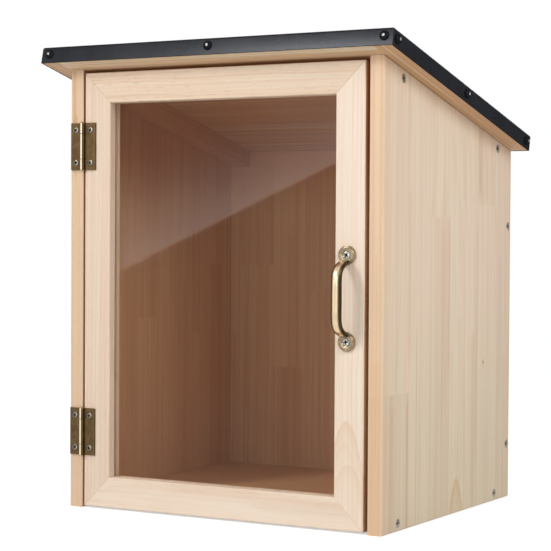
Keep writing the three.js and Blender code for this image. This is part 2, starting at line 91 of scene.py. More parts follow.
class Graph:
    """The nodes of one material."""

    def __init__(self, name):
        self.material = bpy.data.materials.new(name)
        self.material.use_nodes = True
        self.nodes = self.material.node_tree.nodes
        self.links = self.material.node_tree.links
        self.nodes.clear()
        self.output = self.nodes.new("ShaderNodeOutputMaterial")

    def put(self, socket, value):
        if isinstance(value, bpy.types.NodeSocket):
            self.links.new(value, socket)
        elif value is not None:
            socket.default_value = value

    def new(self, kind, **given):
        """A node with values for its inputs."""
        node = self.nodes.new("ShaderNode" + kind)
        for name, value in given.items():
            self.put(node.inputs[name.replace("_", " ")], opaque(value))
        return node

    def math(self, operation, *values):
        node = self.nodes.new("ShaderNodeMath")
        node.operation = operation
        for socket, value in zip(node.inputs, values):
            self.put(socket, value)
        return node.outputs[0]

    def add(self, *values):
        total = values[0]
        for value in values[1:]:
            total = self.math("ADD", total, value)
        return total

    def times(self, *values):
        total = values[0]
        for value in values[1:]:
            total = self.math("MULTIPLY", total, value)
        return total

    def less(self, a, b):
        return self.math("SUBTRACT", a, b)

    def distance(self, x, y):
        return self.math("SQRT", self.add(self.times(x, x), self.times(y, y)))

    def bell(self, value):
        """1 at zero, falling off on both sides."""
        return self.math("EXPONENT", self.times(value, value, -1.0))

    def vector(self, operation, *values):
        node = self.nodes.new("ShaderNodeVectorMath")
        node.operation = operation
        for socket, value in zip(node.inputs, values):
            self.put(socket, value)
        return node.outputs["Vector"]

    def join(self, x, y, z):
        return self.new("CombineXYZ", X=x, Y=y, Z=z).outputs[0]

    def split(self, value):
        return list(self.new("SeparateXYZ", Vector=value).outputs)

    def place(self):
        """The place on the object in millimetres."""
        return self.vector("MULTIPLY", self.new("TexCoord").outputs["Object"], (1000.0, 1000.0, 1000.0))

    def noise(self, where, detail=2.0, roughness=0.5, colour=False):
        node = self.new("TexNoise", Vector=where, Scale=1.0, Detail=detail, Roughness=roughness)
        return node.outputs["Color" if colour else "Fac"]

    def spots(self, where, scale, **given):
        """Noise on the same scale in all directions."""
        return self.noise(self.vector("MULTIPLY", where, (scale, scale, scale)), **given)

    def band(self, value, low, high, start=0.0, end=1.0, kind="SMOOTHSTEP"):
        node = self.nodes.new("ShaderNodeMapRange")
        node.interpolation_type = kind
        for socket, given in zip(node.inputs, (value, low, high, start, end)):
            self.put(socket, given)
        return node.outputs[0]

    def mix(self, share, a, b, kind="MIX"):
        node = self.nodes.new("ShaderNodeMix")
        node.data_type = "RGBA"
        node.blend_type = kind
        self.put(node.inputs[0], share)
        for socket, value in ((node.inputs[6], a), (node.inputs[7], b)):
            self.put(socket, opaque(value))
        return node.outputs[2]

    def tinted(self, share, colour, tint):
        return self.mix(share, colour, self.mix(1.0, colour, tint, "MULTIPLY"))

    def steps(self, share, table):
        """A stepped table: each row is (share where it starts, (three values))."""
        node = self.nodes.new("ShaderNodeValToRGB")
        node.color_ramp.interpolation = "CONSTANT"
        elements = node.color_ramp.elements
        while len(elements) < len(table):
            elements.new(1.0)
        for element, (start, _) in zip(list(elements), table):
            element.position = start
        for element, (_, value) in zip(list(elements), table):
            element.color = (*value, 1.0)
        self.put(node.inputs[0], share)
        return node.outputs[0]

    def bump(self, height, distance, strength):
        return self.new("Bump", Strength=strength, Distance=distance, Height=height).outputs[0]

    def surface(self, **given):
        node = self.new("BsdfPrincipled", **given)
        self.links.new(node.outputs[0], self.output.inputs["Surface"])
        return self.material

    def blend(self, share, first, second):
        """The surface as a mix of two shaders."""
        node = self.nodes.new("ShaderNodeMixShader")
        for socket, value in zip(node.inputs, (share, first.outputs[0], second.outputs[0])):
            self.put(socket, value)
        self.links.new(node.outputs[0], self.output.inputs["Surface"])
        return self.material


CREAM = (0.858, 0.7, 0.54)
PALE = (0.905, 0.775, 0.64)
PINKISH = (0.8, 0.582, 0.44)
HONEY = (0.755, 0.52, 0.325)
TAWNY = (0.75, 0.482, 0.255)
LATEWOOD = (0.69, 0.47, 0.295)
RESIN = (0.34, 0.19, 0.1)
ROSE = (0.64, 0.41, 0.275)
AMBER = (0.64, 0.36, 0.16)
PANE_INDEX = 1.21
STRAW = (0.85, 0.735, 0.55)
# Painted shade on inside faces and on faces in the gaps, and more of it high up inside
INSIDE_SHADE = (0.75, 0.56, 0.39)
UPPER_INSIDE_SHADE = (0.86, 0.68, 0.58)
# Painted shade under the side eaves of the roof
EAVES_SHADE = (0.9, 0.81, 0.72)
# Painted shade towards the foot of the sides
FOOT_SHADE = (0.88, 0.915, 0.87)
# Painted highlight along the front of a hinge barrel
BARREL_HIGHLIGHT = (0.86, 0.76, 0.56)
RECESS_SHADE = (0.012, 0.01, 0.009)
FRONT_SKIN = (FRONT_Y + 0.1, FRONT_Y + 1.2)
# Heights over which the painted shade high up inside comes in
UPPER_SHADE_HEIGHTS = (232.0, 290.0)
STAVE_STAGGER, STAVE_JOINT = 260.0, 0.4
KNOT_WIDTH, KNOT_LENGTH, KNOT_PUSH = 3.4, 9.0, 2.2


def chosen_stave(g, across, along, staves, joint_height):
    """The own figure, pink and tone of the stave at a place, and 1 away from the joints between staves."""
    half = -staves[0][0]
    tables = [[((row[0] + half) / (2 * half), row[i : i + 3]) for row in staves] for i in (1, 4)]
    share = g.band(across, -half, half, kind="LINEAR")
    lower, upper = [g.steps(share, table) for table in tables]
    stagger = g.times(g.less(g.split(lower)[0], 0.5), STAVE_STAGGER)
    above = g.math("GREATER_THAN", along, g.add(joint_height, stagger))
    own, pink, tone = g.split(g.mix(above, lower, upper))
    near = g.band(g.add(across, STAVE_JOINT), -half, half, kind="LINEAR")
    beside = g.split(g.steps(near, tables[0]))[0]
    return own, pink, tone, g.math("COMPARE", g.split(lower)[0], beside, 0.001)


def wood(
    name, axes, seed, pith, lean=0.0, ring=3.4, figure=0.5, pink=0.2, tone=1.0, dashes=0.0, staves=None,
    joint_height=0.0, arches=(), knots=(), warm_front=0.0, streaks=(), base=CREAM, sway=14.0, lines=0.25,
    inner=(), edge_streaks=(), foot=0.0, turned=0.0, sloped=False, shade_share=1.0, cloudy=0.1,
):
    """Planed pine. Axes are the letters across, through and along the grain.

    A streak is a centre, width, low end, high end and depth, an arch a centre, apex, spread, fade and depth,
    a knot a place and a size, and an inner face a letter and where its painted shade starts and ends, the
    shade share scaling that painted shade.
    """
    g = Graph(name)
    parts = dict(zip("xyz", g.split(g.place())))
    across, through, along = (parts[letter] for letter in axes)
    if sloped:
        through = g.add(through, g.times(parts["y"], math.tan(SLOPE)))
    if turned:
        ends = g.math("GREATER_THAN", g.math("ABSOLUTE", along), turned)
        step = g.times(ends, g.less(along, across))
        across, along = g.add(across, step), g.less(along, step)
    shift, joint = seed, None
    if staves:
        own, pink, tone, joint = chosen_stave(g, across, along, staves, joint_height)
        shift = g.add(g.times(own, 37.0), seed)
    drift = g.times(shift, 53.0)

    def grain(fine, drawn_out, *shifts, **given):
        """Noise drawn out along the grain."""
        aside = g.add(g.times(through, fine), drift, *shifts)
        return g.noise(g.join(g.times(across, fine), aside, g.times(along, drawn_out)), **given)

    # Year rings round a wandering pith, pushed aside by the knots
    slow = g.split(g.noise(g.join(
        g.add(g.times(across, 0.016), drift), g.times(through, 0.02), g.times(along, 0.0045)), colour=True))
    drawn = g.times(g.less(slow[0], 0.5), sway)
    heave = g.times(g.less(slow[1], 0.5), sway)
    off_u = g.add(across, drawn, g.times(g.math("SINE", g.times(shift, 2.3)), pith[0]))
    off_v = g.add(through, heave, pith[1], g.times(along, lean))
    for knot_u, knot_w, size in knots:
        du, dw = g.less(across, knot_u), g.less(along, knot_w)
        spread = g.add(
            g.times(du, du, 1 / (KNOT_WIDTH * size) ** 2), g.times(dw, dw, 1 / (KNOT_LENGTH * size) ** 2))
        off_u = g.add(off_u, g.times(du, KNOT_PUSH, g.math("EXPONENT", g.times(spread, -1.0))))
    radius = g.distance(off_u, off_v)
    waver = grain(0.25, 0.006, detail=1.0)
    crowd = g.noise(g.join(g.times(radius, 0.11), drift, g.times(along, 0.002)), detail=1.0)
    year = g.add(g.times(radius, 1 / ring), g.times(waver, 0.7), g.times(crowd, 2.2))
    phase = g.math("FRACT", year)
    late = g.times(g.band(phase, 0.2, 0.9), g.band(phase, 0.92, 1.0, 1.0, 0.0))
    shown = g.band(g.add(g.times(slow[2], 0.5), g.times(crowd, 0.5)), 0.42, 0.6, 0.15, 1.0)

    # Ground colour, fibres and lines
    fibre = grain(1.1, 0.012, detail=4.0, roughness=0.7)
    wide = grain(0.13, 0.004, detail=3.0, roughness=0.6)
    colour = g.mix(g.add(pink, g.times(g.less(wide, 0.5), 1.5)), base, PINKISH)
    colour.node.clamp_factor = True
    colour = g.mix(g.times(late, shown, figure), colour, LATEWOOD)
    colour = g.mix(g.band(fibre, 0.42, 0.7, 0.0, 0.28), colour, HONEY)
    straight = grain(0.36, 0.0018, 9.0, detail=4.0, roughness=0.62)
    colour = g.mix(g.band(straight, 0.49, 0.66, 0.0, lines), colour, LATEWOOD)
    colour = g.mix(g.band(straight, 0.36, 0.49, lines * 1.5, 0.0), colour, STRAW)

    # Streaks, arches, knots and dashes
    for centre, width, low, high, depth in streaks:
        aside = g.add(
            g.less(across, centre), g.times(g.less(slow[0], 0.5), 3.0), g.times(g.less(waver, 0.5), 0.8))
        soft = 0.12 * (high - low)
        ends = g.times(g.band(along, low, low + 2.0 * soft), g.band(along, high - soft, high, 1.0, 0.0))
        mask = g.bell(g.times(aside, 1 / width))
        share = g.times(mask, ends, g.band(fibre, 0.3, 0.7, 0.7, 1.1), abs(depth))
        colour = g.mix(share, colour, ROSE if depth > 0 else HONEY)
    for centre, apex, spread, fade, depth in arches:
        du = g.add(g.less(across, centre), g.times(g.less(waver, 0.5), 1.5))
        under = g.add(g.less(apex, along), g.times(du, du, -1.0 / spread), g.times(g.less(wide, 0.5), 6.0))
        fading = g.math("EXPONENT", g.times(g.math("MAXIMUM", under, 0.0), -1 / fade))
        colour = g.mix(g.times(g.band(under, -0.8, 0.8), fading, depth), colour, HONEY)
    for knot_u, knot_w, size in knots:
        du, dw = g.less(across, knot_u), g.times(g.less(along, knot_w), 0.75)
        gap = g.add(g.times(g.distance(du, dw), 1 / size), g.times(g.less(fibre, 0.5), 0.7))
        colour = g.mix(g.band(gap, 1.0, 3.2, 0.45, 0.0), colour, HONEY)
        colour = g.mix(g.band(gap, 0.55, 1.15, 0.75, 0.0), colour, RESIN)
    if dashes:
        fleck = grain(1.15, 0.085, 4.0, detail=1.0)
        share = g.times(g.band(fleck, 0.625, 0.68, 0.0, dashes), g.band(wide, 0.45, 0.6, 0.3, 1.0))
        colour = g.mix(share, colour, RESIN)

    # Front edges, painted shade on inner faces, under the eaves and towards the foot, and joints
    if warm_front:
        colour = g.mix(g.band(parts["y"], *FRONT_SKIN, warm_front, 0.0), colour, HONEY)
    for centre, width, low, high, depth in edge_streaks:
        du = g.times(g.add(g.less(parts["x"], centre), g.times(g.less(wide, 0.5), 2.5)), 1 / width)
        mask = g.times(g.bell(du), g.band(parts["y"], *FRONT_SKIN, 1.0, 0.0))
        ends = g.times(g.band(along, low, low + 20.0), g.band(along, high - 8.0, high, 1.0, 0.0))
        colour = g.mix(g.times(mask, ends, depth), colour, AMBER)
    # Painted shade: inside faces and faces in the gaps darker and warmer, darker still high up inside
    if inner:
        inner_shade = shade_share
        for letter, start, end in inner:
            inner_shade = g.times(g.band(g.math("ABSOLUTE", parts[letter]), start, end, 1.0, 0.0), inner_shade)
        colour = g.tinted(inner_shade, colour, INSIDE_SHADE)
        colour = g.tinted(g.times(inner_shade, g.band(parts["z"], *UPPER_SHADE_HEIGHTS)), colour, UPPER_INSIDE_SHADE)
    # Painted shade under the side eaves, beyond where the grain turns
    if turned:
        eaves_shade = g.band(g.math("ABSOLUTE", parts["x"]), turned, turned + 0.6)
        colour = g.tinted(eaves_shade, colour, EAVES_SHADE)
    # Painted shade: darker towards the bottom, behind the front edge
    if foot:
        low = g.times(g.band(parts["z"], 0.0, foot, 1.0, 0.0), g.band(parts["y"], *FRONT_SKIN))
        colour = g.tinted(low, colour, FOOT_SHADE)
    if joint is not None:
        colour = g.mix(g.less(0.16, g.times(joint, 0.16)), colour, LATEWOOD)
    tint = g.add(tone, g.times(g.less(wide, 0.5), cloudy), g.times(g.less(fibre, 0.5), 0.05))
    colour = g.vector("SCALE", colour)
    g.put(colour.node.inputs["Scale"], tint)
    height = g.add(g.times(fibre, 0.6), g.times(late, 0.7))
    rough = g.add(0.5, g.times(fibre, 0.14), g.times(late, -0.05))
    return g.surface(Base_Color=colour, Roughness=rough, Normal=g.bump(height, 0.00012, 0.5))


def metal(
    name, dark, light, rough, metallic=1.0, grain=(0.9, 0.9, 0.9), wear=0.35, mottle=1.0,
    barrel_highlight=None, socket=None, crest=None,
):
    """Metal with a mottled skin, lighter where it is worn.

    Barrel highlight gives the axis of a barrel and the strength of a painted highlight along its front.
    Socket is the reach of a recess, which gets painted shade, the height of the face round it and the radius
    of the head, whose rim gets a painted dark ring of shade. Crest is the middle and the front of a bow, and
    the colour along
    its flanks: a painted highlight along the front, fading to painted shade on the flanks.
    """
    g = Graph(name)
    where = g.place()
    x, y, z = g.split(where)
    cloud = g.spots(where, 0.22, detail=4.0, roughness=0.6)
    speck = g.noise(g.vector("MULTIPLY", where, grain), detail=3.0, roughness=0.6)
    share = g.band(g.add(g.times(cloud, 0.7), g.times(speck, 0.3)), 0.38, 0.62)
    colour = g.mix(g.times(share, mottle), dark, light)
    edge = g.new("NewGeometry").outputs["Pointiness"]
    colour = g.mix(g.band(edge, 0.52, 0.6, 0.0, wear), colour, light)
    # Painted highlight in a narrow line along the front of the barrel
    if barrel_highlight:
        axis_x, axis_y, highlight_share = barrel_highlight
        gap = g.distance(g.less(x, axis_x), g.less(y, axis_y))
        front = g.band(y, axis_y - 1.97, axis_y - 1.8, 1.0, 0.0)
        colour = g.mix(g.times(g.band(gap, 2.02, 2.3, 1.0, 0.0), front, highlight_share), colour, BARREL_HIGHLIGHT)
    # Painted shade deep in the recess, and a painted dark ring of shade round the rim of the head
    if socket:
        reach, face, head = socket
        inner = g.distance(x, y)
        deep_shade = g.times(g.band(inner, reach, reach * 1.1, 1.0, 0.0), g.band(z, face - 0.16, face, 1.0, 0.0))
        colour = g.mix(g.times(g.band(inner, head - 0.45, head - 0.1), 0.75), colour, dark)
        colour = g.mix(deep_shade, colour, RECESS_SHADE)
    # Painted highlight along the front of the bow, fading to painted shade on its flanks
    if crest:
        middle_x, front_y, flank_shade = crest
        aside = g.band(g.math("ABSOLUTE", g.less(x, middle_x)), 1.3, 3.0)
        colour = g.mix(g.band(y, front_y - 0.8, front_y, 1.0, 0.0), colour, g.mix(aside, light, flank_shade))
    roughness = g.add(rough - 0.06, g.times(speck, 0.12))
    normal = g.bump(speck, 0.00003, 0.6)
    return g.surface(Base_Color=colour, Roughness=roughness, Metallic=metallic, Normal=normal)


def powder_coat(name, share=0.014, rough=0.19, dust=0.22):
    """Black steel with a fine powder coat."""
    g = Graph(name)
    where = g.place()
    cloud = g.spots(where, 0.035, detail=3.0, roughness=0.55)
    grit = g.spots(where, 1.9)
    colour = g.mix(g.band(cloud, 0.35, 0.65), (0.0045, 0.0048, 0.0062), (0.0095, 0.01, 0.0126))
    colour = g.mix(g.band(grit, 0.45, 0.75, 0.0, dust), colour, (0.035, 0.037, 0.044))
    normal = g.bump(grit, 0.00005, 0.5)
    matt = g.new("BsdfDiffuse", Color=colour, Normal=normal)
    roughness = g.add(rough, g.times(cloud, 0.05), g.times(grit, 0.06))
    sheen = g.new("BsdfGlossy", Color=(0.9, 0.93, 1.0), Roughness=roughness, Normal=normal)
    return g.blend(g.add(share, g.times(grit, 0.008)), matt, sheen)


def plastic(name, dark, light, rough):
    """Moulded plastic with a fine grain."""
    g = Graph(name)
    grit = g.spots(g.place(), 2.4)
    colour = g.mix(g.band(grit, 0.3, 0.7), dark, light)
    roughness = g.add(rough, g.times(grit, 0.1))
    return g.surface(Base_Color=colour, Roughness=roughness, Normal=g.bump(grit, 0.00003, 0.4))


def clear_pane(name):
    """A clear pane with a soft sheen."""
    g = Graph(name)
    cloud = g.spots(g.place(), 0.02, detail=3.0)
    through = g.new("BsdfTransparent", Color=g.mix(cloud, (0.972, 0.962, 0.952), (0.984, 0.978, 0.972)))
    sheen = g.new("BsdfGlossy", Color=(1.0, 0.93, 0.89), Roughness=g.add(0.015, g.times(cloud, 0.02)))
    leaving = g.new("NewGeometry").outputs["Backfacing"]
    fresnel = g.new("Fresnel", IOR=g.band(leaving, 0.0, 1.0, PANE_INDEX, 1 / PANE_INDEX))
    return g.blend(fresnel.outputs[0], through, sheen)


# Staves, on a board as wide on both sides of its middle: where each starts, then its own figure, share
# of pink and tone below its joint, and the same above it
# Below the joint the tones are a little lower: each stave's own tone, with painted shade for the lower part
RIGHT_STAVES = [
    (-120.0, 0.257, 0.44, 0.976, 0.4, 0.28, 1.004), (-76.0, 0.62, 0.1, 1.0, 0.62, 0.1, 1.0),
    (-42.0, 0.765, 0.42, 0.985, 0.55, 0.08, 1.01), (-3.0, 0.31, 0.03, 1.006, 0.31, 0.03, 1.006),
    (50.0, 0.804, 0.1, 0.984, 0.36, 0.38, 0.99), (90.0, 0.45, 0.48, 0.976, 0.45, 0.48, 0.976),
]
RIGHT_STREAKS = (
    (-14.0, 8.0, 62.0, 236.0, 0.32), (-4.3, 1.5, 95.0, 236.0, 0.46), (57.0, 4.2, 243.0, 330.0, 0.57),
    (49.6, 1.2, 15.0, 243.0, 0.55), (43.0, 4.6, -20.0, 150.0, 0.41), (-75.0, 3.2, 104.0, 262.0, 0.32),
    (-78.4, 2.2, -30.0, 102.0, 0.61), (-104.0, 5.0, -30.0, 101.8, 0.35), (-63.0, 0.9, -30.0, 160.0, 0.54),
    (99.0, 4.0, 60.0, 210.0, 0.24), (24.0, 3.0, 30.0, 330.0, 0.16), (-56.0, 2.4, -30.0, 330.0, 0.19),
    (-115.5, 5.0, -300.0, 700.0, -0.5), (72.0, 6.0, -200.0, 243.0, -0.19),
)
LEFT_STAVES = [
    (-120.0, 0.63, 0.3, 0.935, 0.47, 0.1, 0.94), (-98.0, 0.41, 0.1, 1.005, 0.68, 0.4, 0.99),
    (-66.0, 0.77, 0.5, 0.98, 0.3, 0.1, 1.005), (-41.0, 0.34, 0.15, 1.0, 0.6, 0.5, 0.985),
    (-12.0, 0.56, 0.05, 1.01, 0.37, 0.25, 1.0), (17.0, 0.69, 0.45, 0.985, 0.53, 0.05, 1.01),
    (38.0, 0.28, 0.2, 1.0, 0.72, 0.35, 0.99), (71.0, 0.51, 0.55, 0.98, 0.43, 0.1, 1.0),
    (95.0, 0.74, 0.1, 1.005, 0.26, 0.45, 0.985),
]
WIDE_STAVES = [
    (-156.0, 0.42, 0.25, 0.995, 0.61, 0.1, 1.005), (-121.0, 0.66, 0.1, 1.005, 0.33, 0.45, 0.985),
    (-83.0, 0.31, 0.5, 0.98, 0.73, 0.1, 1.005), (-52.0, 0.58, 0.15, 1.0, 0.46, 0.4, 0.99),
    (-14.0, 0.75, 0.35, 0.99, 0.28, 0.1, 1.005), (23.0, 0.37, 0.05, 1.01, 0.64, 0.45, 0.985),
    (61.0, 0.54, 0.45, 0.985, 0.39, 0.1, 1.0), (97.0, 0.7, 0.15, 1.0, 0.57, 0.3, 0.99),
    (129.0, 0.29, 0.4, 0.99, 0.76, 0.1, 1.005),
]

ROOF_STREAKS = (
    (-84.0, 5.0, -150.0, 150.0, 0.5), (-52.0, 9.0, -100.0, 138.0, 0.3), (-12.0, 6.0, -150.0, 100.0, 0.5),
    (28.0, 11.0, -70.0, 150.0, 0.3), (64.0, 7.0, -130.0, 100.0, 0.5), (92.0, 6.0, -30.0, 140.0, 0.4),
)

RIGHT_EDGE_STREAKS = (
    (137.6, 0.9, -40.0, 400.0, 0.34), (131.0, 1.2, -40.0, 400.0, 0.26), (134.3, 0.8, 40.0, 210.0, 0.28),
    (134.0, 5.0, -90.0, 130.0, 0.2),
)
LEFT_EDGE_STREAKS = (
    (-136.8, 1.3, 292.0, 356.0, 0.75), (-135.6, 1.3, 256.0, 318.0, 0.75), (-131.5, 1.4, -40.0, 262.0, 0.16),
    (-137.5, 1.0, 60.0, 264.0, 0.16), (-134.2, 1.6, 246.0, 264.0, 0.3),
)


def gap_shade(letter, edge):
    """Painted shade on all but the skin of the door's outer edge, the face in the gap."""
    return ((letter, edge - 0.02, edge - 0.15),)


right_pine = wood(
    "pine_right_side", "yxz", 3.0, (30.0, 60.0), lean=0.03, figure=0.26, sway=6.0,
    staves=RIGHT_STAVES, joint_height=165.0,
    arches=((11.9, 27.0, 6.2, 16.0, 1.2),), knots=((63.8, 116.4, 1.3),), warm_front=0.66,
    streaks=RIGHT_STREAKS, lines=0.3, cloudy=0.22, inner=(("x", 128.02, 128.15),),
    edge_streaks=RIGHT_EDGE_STREAKS, foot=215.0,
)
left_pine = wood(
    "pine_left_side", "yxz", 7.0, (26.0, -55.0), lean=-0.03, figure=0.28, sway=6.0,
    staves=LEFT_STAVES, joint_height=190.0, warm_front=0.78, lines=0.5,
    inner=(("x", 128.02, 128.15),), edge_streaks=LEFT_EDGE_STREAKS,
    streaks=(
        (-52.0, 5.0, 40.0, 210.0, 0.26), (31.0, 3.4, -20.0, 190.0, 0.3), (84.0, 4.4, 120.0, 330.0, 0.24),
    ),
)
back_pine = wood(
    "pine_back", "xyz", 11.0, (30.0, 50.0), figure=0.44, sway=7.0, lines=0.5,
    streaks=(
        (-64.0, 5.0, 60.0, 230.0, 0.28), (42.0, 4.0, -20.0, 150.0, 0.3), (104.0, 6.0, 90.0, 300.0, 0.22),
    ),
    staves=WIDE_STAVES, joint_height=150.0, inner=(("y", 108.1, 108.7),),
)
floor_pine = wood(
    "pine_floor", "xzy", 13.0, (28.0, 42.0), figure=0.34, sway=7.0, lines=0.34,
    staves=WIDE_STAVES, inner=(("z", FLOOR_TOP - 0.1, FLOOR_TOP - 0.7),),
)
# The painted shade inside is weaker on the roof board, and its side eaves get painted shade
roof_pine = wood(
    "pine_roof", "yzx", 17.0, (20.0, 90.0), figure=1.0, sway=9.0, tone=0.88, pink=0.0, base=TAWNY,
    lines=0.75, streaks=ROOF_STREAKS, shade_share=0.6, inner=(("x", 127.6, 128.4), ("y", 118.6, 119.8)),
    turned=HALF_WIDTH - 0.4, sloped=True,
)
# The cleats are inside, so all their faces get the painted shade
cleat_pine = wood(
    "pine_cleats", "xzy", 19.0, (10.0, 22.0), figure=0.6, pink=0.4, dashes=0.3, lines=0.4,
    inner=(("x", 300.0, 301.0),), sloped=True,
)
left_stile_pine = wood(
    "pine_left_stile", "xyz", 23.0, (14.0, 150.0), lean=0.02, ring=3.0, figure=0.4, pink=0.5,
    dashes=0.12, lines=0.3, base=PALE, tone=0.925, cloudy=0.22,
    inner=gap_shade("x", DOOR_LEFT_EDGE),
)
right_stile_pine = wood(
    "pine_right_stile", "xyz", 29.0, (24.0, 160.0), lean=0.02, figure=0.24, pink=0.02, base=PALE,
    lines=0.18, tone=0.97, inner=gap_shade("x", DOOR_EDGE),
    arches=(
        (110.3, 82.0, 5.4, 13.0, 0.62), (112.0, 50.0, 8.4, 9.0, 0.4), (109.0, 66.0, 4.6, 5.0, 0.28),
    ),
)
top_rail_pine = wood(
    "pine_top_rail", "zyx", 31.0, (18.0, 150.0), lean=0.03, ring=3.6, figure=0.48, pink=0.42,
    dashes=0.62, tone=0.965, cloudy=0.18, inner=gap_shade("z", DOOR_TOP),
    streaks=(
        (275.0, 2.4, 20.0, 108.0, 0.34), (262.0, 1.6, -60.0, 30.0, 0.26), (252.0, 2.2, -10.0, 90.0, 0.18),
    ),
)
bottom_rail_pine = wood(
    "pine_bottom_rail", "zyx", 37.0, (18.0, 150.0), lean=-0.04, ring=4.2, figure=0.36, pink=0.22,
    dashes=0.12, base=PALE, lines=0.2, tone=0.97,
    streaks=(
        (24.0, 5.0, -60.0, 40.0, 0.2), (40.0, 3.0, -20.0, 100.0, -0.16), (14.0, 4.0, 20.0, 120.0, 0.22),
        (34.0, 2.2, -120.0, -30.0, 0.18),
    ),
)
# A tone of 1.1 paints light onto the beads, lighter than the other pine
bead_pine = {
    side: wood(f"pine_bead_{side}", axes, seed, (9.0, 140.0), figure=0.4, tone=1.1)
    for side, axes, seed in (
        ("left", "xyz", 41.0), ("right", "xyz", 43.0), ("top", "zyx", 47.0), ("bottom", "zyx", 51.0),
    )
}
black_coat = powder_coat("black_powder_coat")
black_screw = powder_coat("black_screw_steel", 0.003, 0.1, 0.03)
# Bright steel for the recesses of the cover screws, a painted highlight given as worn bare metal
worn_highlight_steel = metal(
    "worn_highlight_steel", (0.7, 0.65, 0.6), (0.95, 0.91, 0.87), 0.45, metallic=0.2, wear=0.0, mottle=0.5,
)
hinge_brass = metal(
    "hinge_brass", (0.086, 0.053, 0.0235), (0.129, 0.082, 0.037), 0.41, grain=(1.6, 1.6, 0.5), wear=0.6,
    barrel_highlight=(HINGE_X, HINGE_Y, 0.9),
)
pin_brass = metal("pin_brass", (0.36, 0.26, 0.13), (0.62, 0.47, 0.26), 0.26)
handle_brass = metal(
    "handle_brass", (0.212, 0.168, 0.106), (0.69, 0.535, 0.345), 0.25, wear=0.3, mottle=0.25,
    crest=(HANDLE_X + 0.25, -124.2, (0.056, 0.037, 0.016)),
)
small_screw_metal = metal(
    "small_screw_metal", (0.1, 0.085, 0.065), (0.38, 0.35, 0.3), 0.36, wear=0.5, mottle=0.8,
    socket=(2.12, 0.31, 2.5),
)
handle_screw_metal = metal(
    "handle_screw_metal", (0.16, 0.15, 0.14), (0.66, 0.65, 0.65), 0.34, wear=0.5, mottle=0.9,
    socket=(2.38, 0.37, 2.8),
)
zinc = metal(
    "zinc_screw", (0.17, 0.155, 0.125), (0.44, 0.42, 0.37), 0.42, wear=0.4, socket=(2.4, -0.05, 3.5),
)
bright_steel = metal(
    "bright_steel", (0.42, 0.42, 0.42), (0.62, 0.62, 0.61), 0.28, grain=(0.3, 0.3, 4.0),
)
catch_plastic = plastic("catch_plastic", (0.06, 0.034, 0.022), (0.085, 0.05, 0.033), 0.42)
pane_clear = clear_pane("clear_pane")


# Shapes


def smooth(mesh, sharp):
    """Smooth shading, broken at edges sharper than an angle in degrees."""
    mesh.shade_smooth()
    mesh.set_sharp_from_angle(angle=math.radians(sharp))
    return mesh


def new_mesh(name, vertices, faces, sharp=35.0):
    mesh = bpy.data.meshes.new(name)
    mesh.from_pydata([tuple(v * MM for v in vertex) for vertex in vertices], [], faces)
    mesh.validate()
    mesh.update()
    return smooth(mesh, sharp)


def add(name, mesh, material, body, replaces, matrix=None):
    """A piece with its material, riding on a body."""
    mesh.materials.clear()
    mesh.materials.append(material)
    piece = placed(name, mesh)
    if matrix is not None:
        piece.matrix_world = matrix
    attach(piece, body)
    if replaces:
        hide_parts(*replaces)
    return piece


def lathe(profile, facets, closed=False):
    """A solid turned round Z from (radius, height) points, end to end on the axis, or a closed ring."""
    vertices, rings, faces = [], [], []
    for radius, height in profile:
        if radius == 0:
            rings.append([len(vertices)])
            vertices.append((0.0, 0.0, height))
            continue
        rings.append(list(range(len(vertices), len(vertices) + facets)))
        for i in range(facets):
            turn = 2 * math.pi * i / facets
            vertices.append((radius * math.cos(turn), radius * math.sin(turn), height))
    pairs = list(zip(rings, rings[1:])) + ([(rings[-1], rings[0])] if closed else [])
    for low, high in pairs:
        for i in range(facets):
            j = (i + 1) % facets
            if len(low) == 1:
                faces.append((low[0], high[j], high[i]))
            elif len(high) == 1:
                faces.append((low[i], low[j], high[0]))
            else:
                faces.append((low[i], low[j], high[j], high[i]))
    return vertices, faces


def extrude(outline, low, high, inset=1.0):
    """A prism along Z over an outline in X and Y, its low end scaled about the axis."""
    count = len(outline)
    vertices = [(x * inset, y * inset, low) for x, y in outline] + [(x, y, high) for x, y in outline]
    faces = [tuple(reversed(range(count))), tuple(range(count, 2 * count))]
    faces += [(i, (i + 1) % count, count + (i + 1) % count, count + i) for i in range(count)]
    return vertices, faces


def box_shape(low, high):
    (x0, y0, z0), (x1, y1, z1) = low, high
    return extrude([(x0, y0), (x1, y0), (x1, y1), (x0, y1)], z0, z1)


def moved(shape, x, y, z):
    """A shape moved to a place."""
    vertices, faces = shape
    return [(u + x, v + y, w + z) for u, v, w in vertices], faces


def on_front(shape, x, y, z):
    """A shape along Z, turned to face the front and moved to a place."""
    vertices, faces = shape
    return [(u + x, y - w, v + z) for u, v, w in vertices], faces


def combined(name, base, others, sharp):
    """The base shape with each (operation, shape) applied to it."""
    made = placed(name, new_mesh(name, *base))
    tools = []
    for operation, shape in others:
        tool = placed(name, new_mesh(name, *shape))
        modifier = made.modifiers.new(operation, "BOOLEAN")
        modifier.operation = operation
        modifier.solver = "EXACT"
        modifier.object = tool
        tools.append(tool)
    bpy.context.view_layer.update()
    graph = bpy.context.evaluated_depsgraph_get()
    mesh = bpy.data.meshes.new_from_object(made.evaluated_get(graph))
    for extra in [made, *tools]:
        bpy.data.objects.remove(extra)
    mesh.name = name
    return smooth(mesh, sharp)


